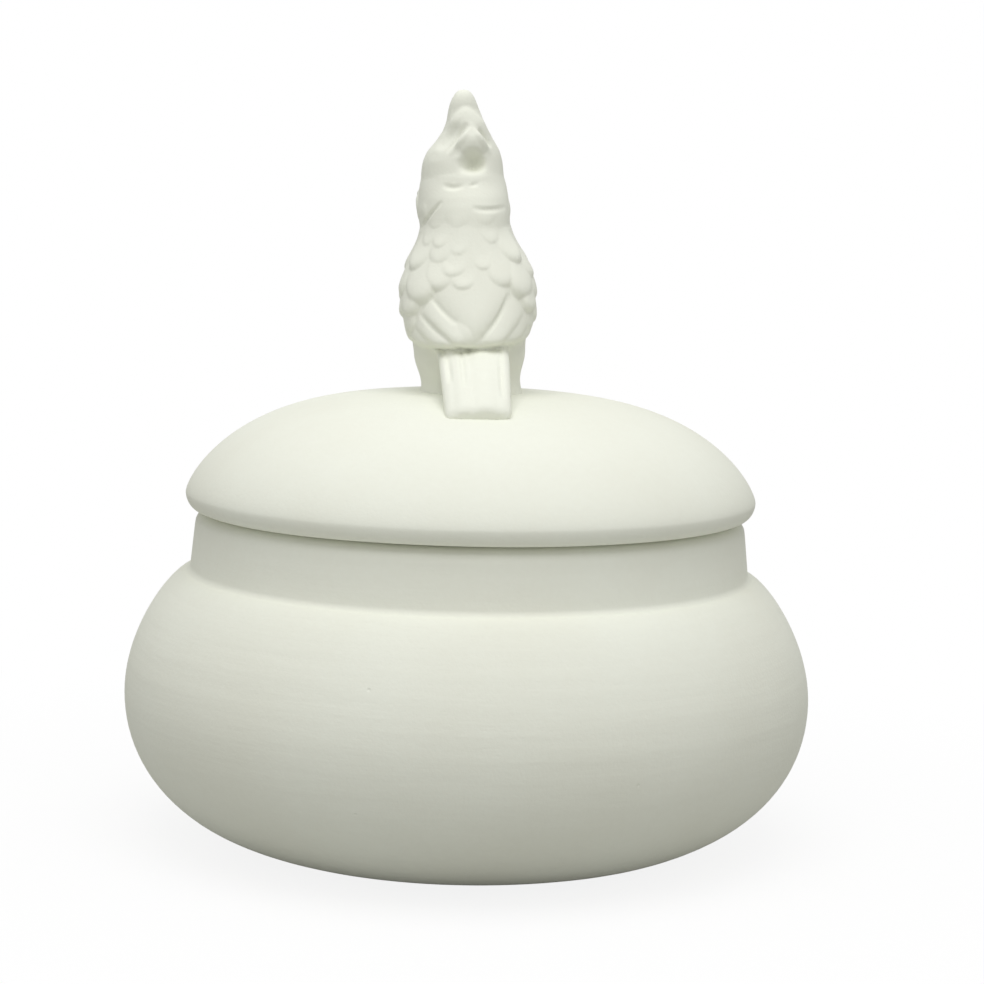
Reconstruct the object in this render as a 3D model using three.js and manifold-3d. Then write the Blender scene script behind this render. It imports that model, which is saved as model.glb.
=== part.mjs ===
// Lidded trinket box in white bisque ceramic: a round-bellied bowl, a domed lid that locates in the bowl's neck,
// and a perched cockatoo, luted to the lid, that serves as its knob.
// Millimetres, +Z up. The origin is under the middle of the bowl's foot, on the table.
// The cockatoo faces +Y, and its tail comes down on the lid towards -Y.

import * as THREE from "three";
import { mergeVertices } from "three/addons/utils/BufferGeometryUtils.js";
import Module from "manifold-3d";

const wasm = await Module();
wasm.setup();

// Bowl, slip-cast in one piece
const BELLY_RADIUS = 55; // widest part of the bowl
const BELLY_HEIGHT = 23.8; // how high the widest part lies
const BELLY_FULLNESS = 0.58; // 0.55 would be an ellipse, more is squarer
const FOOT_RADIUS = 27; // outer radius of the ring it stands on
const FOOT_RING = 5; // width of that ring
const FOOT_RECESS = 0.8; // depth of the hollow inside the ring
const SHOULDER_RADIUS = 45.4; // crease where the shoulder meets the neck
const SHOULDER_HEIGHT = 43.4;
const SHOULDER_RISE = 0.52; // how far the shoulder's curve stays upright
const SHOULDER_RUN = 0.25; // how far it stays level at the crease
const CREASE_ROUND = 1.4; // height of the fillet between shoulder and neck
const NECK_RADIUS = 44; // outside of the rim
const RIM_HEIGHT = 53;
const RIM_ROUND = 0.8;
const BOWL_WALL = 4;

// Lid, slip-cast in one piece
const SEAT_GAP = 0.3; // between the rim and the lid's seat
const LID_RADIUS = 45.5; // widest part of the lid's edge
const LID_EDGE = 3; // the widest part lies this far above the seat
const LID_EDGE_ROUND = 1.6; // how far the edge curves in under itself
const DOME_RISE = 15.8; // top of the dome above the widest part
const DOME_FLATNESS = 3.3; // 2 would be an ellipse, more is flatter on top
const DOME_SLOPE = 0.77; // 0.5 would be an ellipse, more is leaner at the edge
const LID_WALL = 4;
const FLANGE_CLEARANCE = 1; // between the neck's inside and the flange
const FLANGE_WALL = 3.5;
const FLANGE_DEPTH = 6; // below the seat

// Cockatoo: heights are above the top of the dome, and sizes are half widths (X) and half depths (Y)
const LUTE_GAP = 0.3; // slip joint between the castings
const BIRD_SIDE = -0.7; // the bird stands this far to the side of the lid's middle
const BIRD_LEAN = -2.6; // degrees, towards its own left
const BIRD_TURN = 1.6; // degrees, towards its own left
const PERCH_HEIGHT = 1.6; // narrowest part of the thighs, just above the lid
const PERCH_WIDTH = 8.2;
const PERCH_DEPTH = 8.4;
const PERCH_FLARE = 0.8; // the foot of the body spreads this much into the lid
const PERCH_ROOT = 5; // the body's block runs this far below the perch and is trimmed by the dome
const CHEST_HEIGHT = 13.6;
const CHEST_WIDTH = 9.5;
const CHEST_DEPTH = 10.8;
const NECK_HEIGHT = 25.8;
const NECK_WIDTH = 7.4;
const NECK_DEPTH = 7.9;
const BODY_FORWARD = 0.6; // the body's axis lies this far in front of the lid's
const THIGH_SIZE = new THREE.Vector3(4.2, 4.6, 5.4);
const THIGH_SPREAD = 4.3;
const THIGH_FORWARD = 4.4;
const THIGH_HEIGHT = 3.6;

const HEAD_TURN = 6; // degrees, further towards its own left
const HEAD_WIDTH = 7.5;
const HEAD_DEPTH = 8.5;
const HEAD_HEIGHT = 10.4;
const HEAD_FORWARD = 0.7;
const CHEEK_SIZE = new THREE.Vector3(2.3, 4.8, 4.6);
const CHEEK_SPREAD = 5.4;
const CHEEK_FORWARD = 1.6;
const CHEEK_HEIGHT = 3.4;
const EYE_RADIUS = 1.2;
const EYE_SPREAD = 5.3;
const EYE_FORWARD = 5;
const EYE_HEIGHT = 6.2;
const BEAK_WIDTH = 5.4;
const BEAK_DEPTH = 6.8;
const BEAK_REACH = 12.4; // furthest the beak stands out in front of the neck's axis
const BEAK_ROOT = new THREE.Vector2(3, 6.6); // how far inside the face it starts, and how high
const BEAK_BRIDGE = new THREE.Vector2(1.6, 8.6); // its curve is pulled this far past its reach, at this height
const BEAK_HOOK = new THREE.Vector2(2.2, 0.9); // its tip hooks back this far, to this height
const CHIN_SIZE = new THREE.Vector3(2.8, 2.9, 2.9);
const CHIN_INSET = 0.5; // the chin's middle lies this far inside the face

const CREST_HEIGHT = 21.4; // tip of the tallest plume above the neck
const PLUME_THICKNESS = 3;
// Plumes from front to rear, as places in front of the neck's axis and above the neck
const PLUME_ROOTS = [new THREE.Vector2(4.4, 6.6), new THREE.Vector2(2.4, 7.6), new THREE.Vector2(0.6, 7.6)];
const PLUME_BENDS = [new THREE.Vector2(5, 15.5), new THREE.Vector2(2.6, 15), new THREE.Vector2(1.2, 13.4)];
const PLUME_LEANS = [1.2, 3.4, 5.4]; // how far each tip lies behind the neck's axis
const PLUME_DROPS = [0, 2.8, 6]; // and below the tip of the tallest
const PLUME_WIDTHS = [13.4, 9, 7.6];

const WING_THICKNESS = 1.7;
const WING_SHARE_AT_NECK = 0.45; // the wing thins to this share of its thickness at the shoulder
const WING_MEET = 1.5; // the left wing folds this far over the middle of the back
const COVERT_WIDTH = 6;
const COVERT_THICKNESS = 1.8;
const PRIMARY_WIDTH = 4.4;
const PRIMARY_THICKNESS = 1.8;
const WING_DROP = 0.4; // the wings end this far below the tail's root
const WING_SHOULDER = 1.2; // and start this far below the neck joint
const WING_THINS_FROM = 2; // they thin from this far above the chest
const WING_THINS_TO = 1; // to this far below the neck joint
// The right wing's outline from behind, above the wing's end
const WING_FLANK_RISE = 5;
const WING_NECK_INSET = 0.6;
const WING_EDGE = new THREE.Vector2(4.8, 17.5); // inner edge beside the bare middle of the back
const WING_FOLD = new THREE.Vector2(3, 12); // where that edge turns in
const WING_TIP = new THREE.Vector2(1, 2);
const WING_HEM = new THREE.Vector2(4, 1);
const WING_HEM_END = new THREE.Vector2(1.6, 0.4); // in from the chest's side
const WING_FLANK = new THREE.Vector2(0.6, 2); // out from the chest's side
// The wing's outline from the side
const WING_TAIL_RISE = -2;
const WING_BELOW = new THREE.Vector2(-4, -0.5);
const WING_FRONT_RISE = 3.5;
const WING_CHEST_RISE = 3;
const WING_WRIST_DROP = 3;
const WING_BACK_RISE = 4;
// Root and tip of each feather of the right wing, from behind
const COVERTS = [
  [new THREE.Vector2(7.2, 23.4), new THREE.Vector2(8.4, 19.8)],
  [new THREE.Vector2(6.8, 20), new THREE.Vector2(6.6, 14.6)],
  [new THREE.Vector2(10, 18.6), new THREE.Vector2(9.9, 13)],
];
const PRIMARIES = [
  [new THREE.Vector2(4.8, 15.4), new THREE.Vector2(1.2, 8.2)],
  [new THREE.Vector2(7, 13.2), new THREE.Vector2(3.2, 7.4)],
  [new THREE.Vector2(8.8, 11.8), new THREE.Vector2(5.6, 7.4)],
  [new THREE.Vector2(10.4, 11.6), new THREE.Vector2(8.4, 8)],
];
const CROSSING = 2; // a feather that ends nearer the middle than this follows the fold of the wings

const TAIL_SIDE = 0.6; // the tail leaves the rump this far to the bird's right
const TAIL_WIDTH = 11.3;
const TAIL_FEATHERS = 5;
const TAIL_FEATHER_WIDTH = 3.7;
const TAIL_THICKNESS = 2.4;
const TAIL_TAPER = 0.9; // width at its end as a share of the width at the rump
const TAIL_REACH = 27.2; // how far behind the lid's axis it ends
const TAIL_ROOT = 7.3; // height at which it leaves the rump
const TAIL_BARREL = 0.28; // how far each feather lies below the one nearer the middle
const TAIL_INSET = 2; // it starts this far inside the rump
const TAIL_SAG = 1.8; // and sags this much on its way to the lid

const TOE_RADIUS = 1.3;
const TOE_REACH = 12.4;
const FOOT_SPREAD = 3.9;
const TOE_SPLAY = 1.5;
const TOE_STEP = 1.2; // the outer toe is this much shorter
const TOE_ROOT = new THREE.Vector2(0.6, 2); // its start: out from the foot's middle, and inside the body
const TOE_KNUCKLE = 2.5; // the last joint lies this far behind the claw
const CLAW_SPLAY = 0.4;

// Fineness of the facets
const TURN_FACETS = 48;
const BODY_FACETS = 22;
const FEATHER_FACETS = 8;
const FEATHER_STEPS = 6;
const BLUNT_TIP = 0.25; // half width at which every feather and claw ends

// What the sizes above lead to
const SEAT_HEIGHT = RIM_HEIGHT + SEAT_GAP;
const LID_EDGE_HEIGHT = SEAT_HEIGHT + LID_EDGE;
const DOME_TOP = LID_EDGE_HEIGHT + DOME_RISE;
const NECK_BORE = NECK_RADIUS - BOWL_WALL;
const X_AXIS = new THREE.Vector3(1, 0, 0);
const Y_AXIS = new THREE.Vector3(0, 1, 0);
const Z_AXIS = new THREE.Vector3(0, 0, 1);

const v3 = (x, y, z) => new THREE.Vector3(x, y, z);
const v2 = (x, y) => new THREE.Vector2(x, y);
const { lerp, smoothstep } = THREE.MathUtils;

// A closed geometry as a solid for joining and cutting.
function solid(geometry) {
  const bare = geometry.clone();
  bare.deleteAttribute("normal");
  bare.deleteAttribute("uv");
  const merged = mergeVertices(bare, 1e-4);
  const corners = merged.index.array;
  const triVerts = [];
  for (let i = 0; i < corners.length; i += 3) {
    const [a, b, c] = corners.slice(i, i + 3);
    if (a !== b && b !== c && c !== a) triVerts.push(a, b, c);
  }
  const mesh = new wasm.Mesh({
    numProp: 3,
    vertProperties: merged.attributes.position.array,
    triVerts: new Uint32Array(triVerts),
  });
  return new wasm.Manifold(mesh);
}

// The joined or cut solid as a geometry again.
function geometryOf(body) {
  const mesh = body.getMesh();
  const geometry = new THREE.BufferGeometry();
  geometry.setAttribute("position", new THREE.BufferAttribute(mesh.vertProperties, 3));
  geometry.setIndex(new THREE.BufferAttribute(mesh.triVerts, 1));
  geometry.computeVertexNormals();
  return geometry;
}

const joined = (bodies) => bodies.reduce((all, body) => all.add(body));

// A profile of (radius, height) points turned about Z.
function turned(profile) {
  const geometry = new THREE.LatheGeometry(profile, TURN_FACETS);
  return geometry.rotateX(Math.PI / 2);
}

// A closed skin over rings of points that run anticlockwise seen from the last ring.
function loft(rings) {
  const count = rings[0].length;
  const last = (rings.length - 1) * count;
  const index = [];
  for (let start = 0; start < last; start += count) {
    for (let i = 0; i < count; i++) {
      const here = start + i;
      const next = start + ((i + 1) % count);
      index.push(here, next, next + count, here, next + count, here + count);
    }
  }
  for (let i = 1; i + 1 < count; i++) {
    index.push(0, i + 1, i, last, last + i, last + i + 1);
  }
  const geometry = new THREE.BufferGeometry().setFromPoints(rings.flat());
  return geometry.setIndex(index);
}

// A level ring round (0, y), half width wide and half depth deep.
function levelRing(z, wide, deep, y) {
  return Array.from({ length: BODY_FACETS }, (_, i) => {
    const angle = (2 * Math.PI * i) / BODY_FACETS;
    return v3(wide * Math.cos(angle), y + deep * Math.sin(angle), z);
  });
}

// A tapering piece along a curve. size(t) gives its half width, across "side", and its half thickness.
function swept(curve, side, size, steps = FEATHER_STEPS, facets = FEATHER_FACETS) {
  const rings = [];
  for (let step = 0; step <= steps; step++) {
    const t = step / steps;
    const centre = curve.getPoint(t);
    const along = curve.getTangent(t);
    const across = side.clone().addScaledVector(along, -side.dot(along)).normalize();
    const up = along.clone().cross(across);
    const [wide, thick] = size(t);
    rings.push(
      Array.from({ length: facets }, (_, i) => {
        const angle = (2 * Math.PI * i) / facets;
        return centre
          .clone()
          .addScaledVector(across, wide * Math.cos(angle))
          .addScaledVector(up, thick * Math.sin(angle));
      }),
    );
  }
  return loft(rings);
}

// Half width and half thickness along a feather: round-ended as on the wing, or pointed as on the crest.
const roundFeather = (width, thickness, grow = 0) => (t) => {
  const share = Math.sqrt(Math.sin(Math.PI * (0.2 + 0.78 * t)));
  return [(width / 2) * share + grow, (thickness / 2) * lerp(1, share, t) + grow];
};
const pointedFeather = (width, thickness, grow = 0) => (t) => {
  const share = 1 - t ** 1.3;
  const wide = Math.max((width / 2) * share, BLUNT_TIP);
  return [wide + grow, Math.max((thickness / 2) * share ** 0.6, BLUNT_TIP) + grow];
};

// An egg-shaped lump with the given half sizes.
function lump(size, centre, grow = 0) {
  const ball = new THREE.SphereGeometry(1, 12, 8).rotateX(Math.PI / 2);
  ball.scale(size.x + grow, size.y + grow, size.z + grow);
  return ball.translate(centre.x, centre.y, centre.z);
}

// The bowl's outside from the foot to the rim, as (radius, height) points.
function bowlOutside() {
  const spread = BELLY_RADIUS - FOOT_RADIUS;
  const shoulder = SHOULDER_HEIGHT - BELLY_HEIGHT;
  const creaseTop = v2(lerp(SHOULDER_RADIUS, NECK_RADIUS, 0.5), SHOULDER_HEIGHT + 2 * CREASE_ROUND);
  const belly = new THREE.CubicBezierCurve(
    v2(FOOT_RADIUS, 0),
    v2(FOOT_RADIUS + BELLY_FULLNESS * spread, 0),
    v2(BELLY_RADIUS, BELLY_HEIGHT * (1 - BELLY_FULLNESS)),
    v2(BELLY_RADIUS, BELLY_HEIGHT),
  );
  const rising = new THREE.CubicBezierCurve(
    v2(BELLY_RADIUS, BELLY_HEIGHT),
    v2(BELLY_RADIUS, BELLY_HEIGHT + SHOULDER_RISE * shoulder),
    v2(lerp(SHOULDER_RADIUS, BELLY_RADIUS, SHOULDER_RUN), SHOULDER_HEIGHT),
    v2(SHOULDER_RADIUS, SHOULDER_HEIGHT + CREASE_ROUND / 2),
  );
  const crease = new THREE.QuadraticBezierCurve(
    v2(SHOULDER_RADIUS, SHOULDER_HEIGHT + CREASE_ROUND / 2),
    v2(creaseTop.x, SHOULDER_HEIGHT + CREASE_ROUND),
    creaseTop,
  );
  return [
    ...belly.getPoints(8),
    ...rising.getPoints(7).slice(1),
    ...crease.getPoints(2).slice(1),
    v2(NECK_RADIUS, RIM_HEIGHT - RIM_ROUND),
  ];
}

// The outline moved in by the wall's thickness, square to the outline.
function inset(outline, wall) {
  return outline.map((point, i) => {
    const before = outline[Math.max(i - 1, 0)];
    const after = outline[Math.min(i + 1, outline.length - 1)];
    const along = after.clone().sub(before).normalize();
    return v2(point.x - along.y * wall, point.y + along.x * wall);
  });
}

function bowl() {
  const outside = bowlOutside();
  const inside = inset(outside, BOWL_WALL).reverse();
  const floor = inside[inside.length - 1].y;
  const profile = [
    v2(0, FOOT_RECESS),
    v2(FOOT_RADIUS - FOOT_RING - FOOT_RECESS, FOOT_RECESS),
    v2(FOOT_RADIUS - FOOT_RING, 0),
    ...outside,
    v2(NECK_RADIUS - RIM_ROUND, RIM_HEIGHT),
    v2(NECK_BORE + RIM_ROUND, RIM_HEIGHT),
    v2(NECK_BORE, RIM_HEIGHT - RIM_ROUND),
    ...inside.slice(1),
    v2(0, floor),
  ];
  return turned(profile);
}

// How much of its rise the dome still has at a share of its radius.
const domeShare = (u) => (1 - u ** DOME_FLATNESS) ** DOME_SLOPE;

// The dome's height at a distance from its middle, measured from its top.
const domeDrop = (radius) => DOME_RISE * (domeShare(radius / LID_RADIUS) - 1);

// A dome of the lid's shape, as (radius, height) points from the edge to the middle.
function domeCurve(radius, rise, height, steps) {
  return Array.from({ length: steps + 1 }, (_, i) => {
    const u = i < steps ? Math.sin((Math.PI / 2) * (1 - i / steps)) : 0;
    return v2(radius * u, height + rise * domeShare(u));
  });
}

function lid() {
  const flangeRadius = NECK_BORE - FLANGE_CLEARANCE;
  const flangeBore = flangeRadius - FLANGE_WALL;
  const inside = domeCurve(flangeBore, DOME_RISE - LID_WALL, LID_EDGE_HEIGHT, 7);
  const edge = new THREE.Path();
  edge.moveTo(LID_RADIUS - LID_EDGE_ROUND, SEAT_HEIGHT);
  edge.bezierCurveTo(
    LID_RADIUS - LID_EDGE_ROUND / 2,
    SEAT_HEIGHT,
    LID_RADIUS,
    LID_EDGE_HEIGHT - LID_EDGE / 2,
    LID_RADIUS,
    LID_EDGE_HEIGHT,
  );
  const profile = [
    ...inside.reverse(),
    v2(flangeBore, SEAT_HEIGHT - FLANGE_DEPTH),
    v2(flangeRadius, SEAT_HEIGHT - FLANGE_DEPTH),
    v2(flangeRadius, SEAT_HEIGHT),
    ...edge.getPoints(5),
    ...domeCurve(LID_RADIUS, DOME_RISE, LID_EDGE_HEIGHT, 12).slice(1),
  ];
  return turned(profile);
}

// The space the dome takes up, in the bird's frame, raised by the slip joint.
function domeSpace() {
  const foot = domeCurve(LID_RADIUS, DOME_RISE, LUTE_GAP - DOME_RISE, 12);
  const profile = [v2(0, foot[0].y - LID_WALL), v2(LID_RADIUS, foot[0].y - LID_WALL), ...foot];
  return solid(turned(profile));
}

// Half width and half depth of the torso at a height.
function torsoSize(z, grow) {
  if (z < PERCH_HEIGHT) {
    const flare = PERCH_FLARE * smoothstep(PERCH_HEIGHT - z, 0, PERCH_ROOT) + grow;
    return [PERCH_WIDTH + flare, PERCH_DEPTH + flare];
  }
  if (z < CHEST_HEIGHT) {
    const share = smoothstep(z, PERCH_HEIGHT, CHEST_HEIGHT);
    return [lerp(PERCH_WIDTH, CHEST_WIDTH, share) + grow, lerp(PERCH_DEPTH, CHEST_DEPTH, share) + grow];
  }
  const share = smoothstep(z, CHEST_HEIGHT, NECK_HEIGHT);
  return [lerp(CHEST_WIDTH, NECK_WIDTH, share) + grow, lerp(CHEST_DEPTH, NECK_DEPTH, share) + grow];
}

// The torso, grown at each height by growAt: by a gap, or by the thickness of a wing.
function torsoSpace(growAt) {
  const low = PERCH_HEIGHT - PERCH_ROOT;
  const steps = 11;
  const rings = Array.from({ length: steps + 1 }, (_, step) => {
    const z = lerp(low, NECK_HEIGHT, step / steps);
    const top = step === steps ? growAt(z) : 0;
    return levelRing(z + top, ...torsoSize(z, growAt(z)), BODY_FORWARD);
  });
  return solid(loft(rings));
}

// A wing's thickness at a height: full at the chest and thinner at the shoulder.
const wingDepth = (z) =>
  WING_THICKNESS * lerp(1, WING_SHARE_AT_NECK, smoothstep(z, CHEST_HEIGHT + WING_THINS_FROM, NECK_HEIGHT - WING_THINS_TO));

function thighs(grow) {
  const pair = [-1, 1].map((hand) => {
    const centre = v3(hand * THIGH_SPREAD, THIGH_FORWARD, THIGH_HEIGHT);
    return solid(lump(THIGH_SIZE, centre, grow));
  });
  return joined(pair);
}

const bodySpace = (grow) => torsoSpace(() => grow).add(thighs(grow));

// The point on the bird's back at a sideways place and height, standing off the torso by "off".
function onBack(x, z, off) {
  const [wide, deep] = torsoSize(z, off);
  const share = Math.min(Math.abs(x) / wide, 0.999);
  return v3(Math.sign(x) * share * wide, BODY_FORWARD - deep * Math.sqrt(1 - share * share), z);
}

// A feather lying on the wing between two places given as (x, z), its root sunk and its tip proud.
function backFeather(root, tip, width, thickness) {
  const middle = root.clone().lerp(tip, 0.5);
  const lie = (point, share) => onBack(point.x, point.y, wingDepth(point.y) - share * thickness);
  const points = [lie(root, 0.5), lie(middle, 0.25), lie(tip, 0.1)];
  const out = points[1].clone().setZ(0).sub(v3(0, BODY_FORWARD, 0)).normalize();
  const along = points[2].clone().sub(points[0]).normalize();
  const side = along.cross(out).normalize();
  return solid(swept(new THREE.CatmullRomCurve3(points), side, roundFeather(width, thickness)));
}

// An outline given as (a, b) points, extruded through the whole bird along the axis square to a and b.
function prism(outline, aAxis, bAxis) {
  const reach = 2 * TAIL_REACH;
  const shape = new THREE.Shape(new THREE.SplineCurve(outline).getPoints(3 * outline.length));
  const slab = new THREE.ExtrudeGeometry(shape, { depth: 2 * reach, bevelEnabled: false });
  slab.translate(0, 0, -reach);
  const through = aAxis.clone().cross(bAxis);
  return solid(slab.applyMatrix4(new THREE.Matrix4().makeBasis(aAxis, bAxis, through)));
}

// A folded wing. hand is -1 on the bird's left and 1 on its right.
function wing(hand, taken) {
  const far = CHEST_WIDTH + 2 * WING_THICKNESS;
  const low = TAIL_ROOT - WING_DROP;
  const high = NECK_HEIGHT - WING_SHOULDER;
  const front = CHEST_DEPTH * 0.5;
  const back = -2 * CHEST_DEPTH;
  const fromBehind = [
    v2(hand * far, low + WING_FLANK_RISE),
    v2(hand * far, high),
    v2(hand * (NECK_WIDTH - WING_NECK_INSET), high),
    v2(hand * WING_EDGE.x, WING_EDGE.y),
    v2(hand * WING_FOLD.x + WING_MEET / 2, WING_FOLD.y),
    v2(hand * WING_TIP.x + WING_MEET, low + WING_TIP.y),
    v2(hand * WING_HEM.x + WING_MEET, low + WING_HEM.y),
    v2(hand * (CHEST_WIDTH - WING_HEM_END.x), low + WING_HEM_END.y),
    v2(hand * (CHEST_WIDTH + WING_FLANK.x), low + WING_FLANK.y),
  ];
  const fromSide = [
    v2(back, low + WING_TAIL_RISE),
    v2(WING_BELOW.x, low + WING_BELOW.y),
    v2(front * 0.7, low + WING_FRONT_RISE),
    v2(front, CHEST_HEIGHT + WING_CHEST_RISE),
    v2(front * 0.8, high - WING_WRIST_DROP),
    v2(0, high),
    v2(back, high + WING_BACK_RISE),
  ];
  const shell = torsoSpace(wingDepth)
    .intersect(prism(fromBehind, X_AXIS, Z_AXIS))
    .intersect(prism(fromSide, Y_AXIS, Z_AXIS));
  const spot = (point) => v2(hand * point.x + (point.x < CROSSING ? WING_MEET : 0), point.y);
  const feathers = [
    ...COVERTS.map(([root, tip]) => backFeather(spot(root), spot(tip), COVERT_WIDTH, COVERT_THICKNESS)),
    ...PRIMARIES.map(([root, tip]) => backFeather(spot(root), spot(tip), PRIMARY_WIDTH, PRIMARY_THICKNESS)),
  ];
  const own = joined([shell, ...feathers]).trimByPlane([hand, 0, 0], hand * WING_MEET + LUTE_GAP / 2);
  return taken.reduce((rest, body) => rest.subtract(body), own);
}

// The tail: a flat fan of feathers from the rump to the lid, with the middle one on top.
function tail(grow) {
  const pitch = (TAIL_WIDTH - TAIL_FEATHER_WIDTH) / (TAIL_FEATHERS - 1);
  const middle = (TAIL_FEATHERS - 1) / 2;
  const end = domeDrop(TAIL_REACH) + TAIL_THICKNESS / 2;
  const feathers = Array.from({ length: TAIL_FEATHERS }, (_, i) => {
    const place = i - middle;
    const drop = TAIL_BARREL * Math.abs(place);
    const curve = new THREE.QuadraticBezierCurve3(
      v3(TAIL_SIDE + pitch * place, -PERCH_DEPTH + TAIL_INSET, TAIL_ROOT - drop),
      v3(TAIL_SIDE + pitch * place, -TAIL_REACH * 0.55, TAIL_ROOT - TAIL_SAG - drop),
      v3(TAIL_SIDE + pitch * place * TAIL_TAPER, -TAIL_REACH + drop, end - drop),
    );
    const size = (t) => {
      const taper = lerp(1, TAIL_TAPER, t) * (t < 0.99 ? 1 : 0.8);
      return [(taper * TAIL_FEATHER_WIDTH) / 2 + grow, (taper * TAIL_THICKNESS) / 2 + grow];
    };
    return solid(swept(curve, X_AXIS, size, 8));
  });
  return joined(feathers);
}

// One foot: two toes forward and spread over the dome, as a parrot's are.
function foot(hand) {
  const toes = [-1, 1].map((toe) => {
    const reach = TOE_REACH - (toe * hand > 0 ? TOE_STEP : 0);
    const x = hand * FOOT_SPREAD + toe * TOE_SPLAY;
    const curve = new THREE.QuadraticBezierCurve3(
      v3(hand * FOOT_SPREAD + toe * TOE_ROOT.x, PERCH_DEPTH - TOE_ROOT.y, TOE_RADIUS),
      v3(x, reach - TOE_KNUCKLE, TOE_RADIUS * 1.5),
      v3(x + toe * CLAW_SPLAY, reach, domeDrop(reach) + BLUNT_TIP),
    );
    const size = (t) => {
      const radius = lerp(TOE_RADIUS, BLUNT_TIP, smoothstep(t, 0.55, 1));
      return [radius, radius];
    };
    return solid(swept(curve, X_AXIS, size));
  });
  const pad = lump(
    v3(TOE_SPLAY + TOE_RADIUS, 1.6 * TOE_RADIUS, TOE_RADIUS),
    v3(hand * FOOT_SPREAD, PERCH_DEPTH + BODY_FORWARD + TOE_RADIUS / 2, TOE_RADIUS / 2),
  );
  return joined([...toes, solid(pad)]);
}

// The head above the neck joint, before it is turned: skull, cheek ruffs, eyes and hooked beak.
function head(grow) {
  const steps = 7;
  const rings = Array.from({ length: steps + 1 }, (_, step) => {
    const rise = Math.sin((Math.PI / 2) * 0.9 * (step / steps));
    const share = (1 - rise ** 2.8) ** (1 / 2.8);
    const z = HEAD_HEIGHT * rise + (step ? grow : -grow);
    return levelRing(z, HEAD_WIDTH * share + grow, HEAD_DEPTH * share + grow, HEAD_FORWARD);
  });
  const beakCurve = new THREE.QuadraticBezierCurve3(
    v3(0, HEAD_DEPTH - BEAK_ROOT.x, BEAK_ROOT.y),
    v3(0, BEAK_REACH + BEAK_BRIDGE.x, BEAK_BRIDGE.y),
    v3(0, BEAK_REACH - BEAK_HOOK.x, BEAK_HOOK.y),
  );
  const beakSize = (t) => {
    const share = 1 - t ** 1.6;
    return [
      Math.max((BEAK_WIDTH / 2) * share, 2 * BLUNT_TIP) + grow,
      Math.max((BEAK_DEPTH / 2) * share, 2 * BLUNT_TIP) + grow,
    ];
  };
  const sides = [-1, 1].flatMap((hand) => [
    lump(CHEEK_SIZE, v3(hand * CHEEK_SPREAD, CHEEK_FORWARD, CHEEK_HEIGHT), grow),
    lump(v3(EYE_RADIUS, EYE_RADIUS, EYE_RADIUS), v3(hand * EYE_SPREAD, EYE_FORWARD, EYE_HEIGHT), grow),
  ]);
  const pieces = [
    loft(rings),
    swept(beakCurve, X_AXIS, beakSize, 7, 10),
    lump(CHIN_SIZE, v3(0, HEAD_DEPTH - CHIN_INSET, CHIN_SIZE.z), grow),
    ...sides,
  ];
  return joined(pieces.map(solid));
}

// The raised crest, before it is turned: plumes that rise from the forehead and lean back, shorter to the rear.
function crest() {
  const bodies = PLUME_ROOTS.map((root, rank) => {
    const tip = v3(0, -PLUME_LEANS[rank], CREST_HEIGHT - PLUME_DROPS[rank]);
    const curve = new THREE.QuadraticBezierCurve3(v3(0, ...root), v3(0, ...PLUME_BENDS[rank]), tip);
    return solid(swept(curve, X_AXIS, pointedFeather(PLUME_WIDTHS[rank], PLUME_THICKNESS), 8, 10));
  });
  return joined(bodies);
}

// Bisque: unglazed, matt, off-white
const bisque = (tone) => new THREE.MeshStandardMaterial({ color: tone, roughness: 0.9, metalness: 0 });
const box = new THREE.Group();

function place(parent, name, geometry, tone) {
  const mesh = new THREE.Mesh(geometry, bisque(tone));
  mesh.name = name;
  parent.add(mesh);
}

place(box, "bowl", bowl(), 0xe9ebdc);
place(box, "lid", lid(), 0xebeddf);

// Every casting of the bird is made upright, then posed, and what touches the lid is trimmed by the dome.
const bird = new THREE.Group();
bird.position.z = DOME_TOP;
box.add(bird);

const dome = domeSpace();
const bodyTaken = bodySpace(LUTE_GAP);
const tailTaken = tail(LUTE_GAP);
const onNeck = (body) => body.rotate([0, 0, HEAD_TURN]).translate([0, BODY_FORWARD, NECK_HEIGHT + LUTE_GAP]);
const posed = (body) => body.rotate([0, BIRD_LEAN, BIRD_TURN]).translate([BIRD_SIDE, 0, 0]);
const castings = {
  bird_body: bodySpace(0),
  bird_tail: tail(0).subtract(bodyTaken),
  bird_wing_left: wing(-1, [bodyTaken, tailTaken]),
  bird_wing_right: wing(1, [bodyTaken, tailTaken]),
  bird_foot_left: foot(-1).subtract(bodyTaken),
  bird_foot_right: foot(1).subtract(bodyTaken),
  bird_head: onNeck(head(0)).subtract(bodyTaken),
  bird_crest: onNeck(crest().subtract(head(LUTE_GAP))),
};
for (const [name, casting] of Object.entries(castings)) {
  place(bird, name, geometryOf(posed(casting).subtract(dome)), 0xecedde);
}

export default box;
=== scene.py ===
"""A trinket box in white bisque: a bellied bowl, and a domed lid with a perched cockatoo for a knob."""

import math

import bmesh
import bpy
from mathutils import Matrix, Vector, noise
from mathutils.bvhtree import BVHTree
from mathutils.geometry import interpolate_bezier
from mathutils.kdtree import KDTree


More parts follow.
